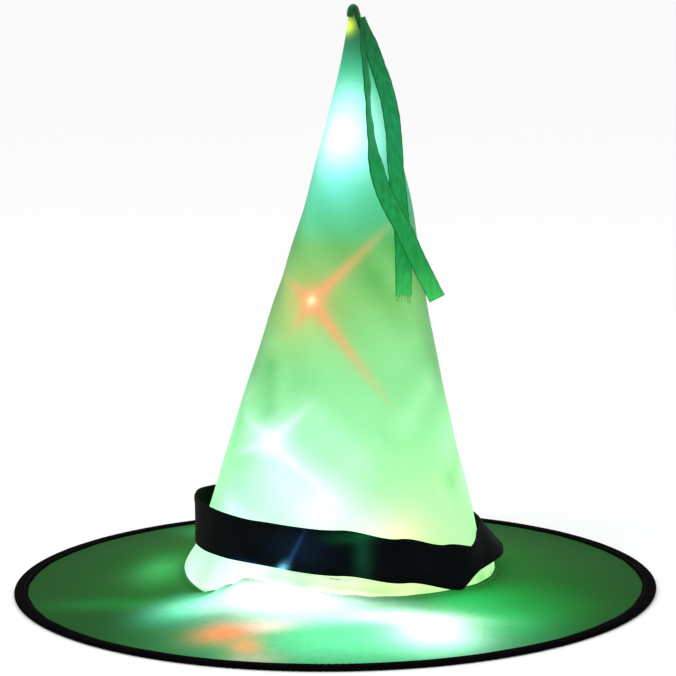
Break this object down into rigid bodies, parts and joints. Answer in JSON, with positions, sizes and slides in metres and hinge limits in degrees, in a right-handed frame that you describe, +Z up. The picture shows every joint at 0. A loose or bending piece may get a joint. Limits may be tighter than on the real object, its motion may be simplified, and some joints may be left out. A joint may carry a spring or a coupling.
{
  "type": "witch hat",
  "caption": "Light-up witch hat: a tall translucent cloth cone leaning slightly over a round wired brim, with a loose dark band, a hanging satin ribbon and a battery light string inside.",
  "frame": {"origin": "middle of the brim's underside, on the surface that the hat stands on", "axes": "+Z up to the tip; the front of the hat faces -Y; the tip leans to +X"},
  "size_m": [0.381, 0.381, 0.3442],
  "materials": {
    "crown_nylon": "thin translucent mint green nylon with a faint rib",
    "brim_cloth": "fine-grained dark green cloth",
    "black_tape": "matt black woven tape",
    "band_cloth": "soft blue-black cloth",
    "green_satin": "green satin ribbon",
    "white_tape": "white cotton tape",
    "hoop_steel": "drawn spring steel wire",
    "crimp_metal": "plain crimped tube",
    "wire_coat": "clear-lacquered copper pair",
    "glow_white": "clear moulded bead, lit white",
    "glow_blue": "clear moulded bead, lit blue",
    "glow_red": "clear moulded bead, lit orange-red",
    "glow_yellow": "clear moulded bead, lit yellow",
    "glow_green": "clear moulded bead, lit green",
    "case_plastic": "moulded white plastic",
    "button_plastic": "moulded dark grey plastic",
    "switch_plastic": "black switch body",
    "board": "green circuit board",
    "contact_metal": "plated spring strip",
    "cell_metal": "bright cell can",
    "screw_metal": "zinc-plated screw",
    "grommet_rubber": "black rubber"
  },
  "bodies": {
    "hat": {"crown_panel": "crown_nylon", "crown_seam": "crown_nylon", "brim_panel": "brim_cloth", "brim_hoop": "hoop_steel", "hoop_sleeve": "crimp_metal", "brim_binding": "black_tape", "seam_tape": "white_tape", "ribbon_fold": "green_satin", "light_wire": "wire_coat", "bead_white": "glow_white", "bead_blue": "glow_blue", "bead_red": "glow_red", "bead_yellow": "glow_yellow", "bead_green": "glow_green", "wire_tabs": "white_tape", "case_pad": "white_tape", "case_base": "case_plastic", "case_cover": "case_plastic", "contact_base": "contact_metal", "circuit_board": "board", "switch_body": "switch_plastic", "wire_grommet": "grommet_rubber"},
    "band": {"hat_band": "band_cloth", "band_join": "band_cloth"},
    "ribbon": {"ribbon_tail_front": "green_satin", "ribbon_tail_side": "green_satin"},
    "lid": {"battery_lid": "case_plastic", "contact_lid": "contact_metal"},
    "screw": {"lid_screw": "screw_metal"},
    "cells": {"coin_cells": "cell_metal"},
    "button": {"mode_button": "button_plastic"}
  },
  "joints": [
    {"name": "band_lift", "type": "slide", "parent": "hat", "child": "band", "axis": [0, 0, 1], "range_m": [0, 0.36]},
    {"name": "ribbon_swing", "type": "hinge", "parent": "hat", "child": "ribbon", "pos_m": [0.018, -0.004, 0.3362], "axis": [0, -1, 0], "range_deg": [0, 95]},
    {"name": "lid_off", "type": "slide", "parent": "hat", "child": "lid", "axis": [0, -0.9682, -0.2501], "range_m": [0, 0.03]},
    {"name": "screw_turn", "type": "hinge", "parent": "lid", "child": "screw", "pos_m": [0.00571, 0.0484, 0.10482], "axis": [0, -0.9682, -0.2501], "continuous": true},
    {"name": "cells_out", "type": "slide", "parent": "hat", "child": "cells", "axis": [0, -0.9682, -0.2501], "range_m": [0, 0.015]},
    {"name": "button_press", "type": "slide", "parent": "hat", "child": "button", "axis": [0, 0.9682, 0.2501], "range_m": [0, 0.0008], "stiffness_N_per_m": 400, "springref_m": -0.001}
  ],
  "couplings": [
    {"joint": "cells_out", "follows": "lid_off", "ratio": 0.5}
  ]
}
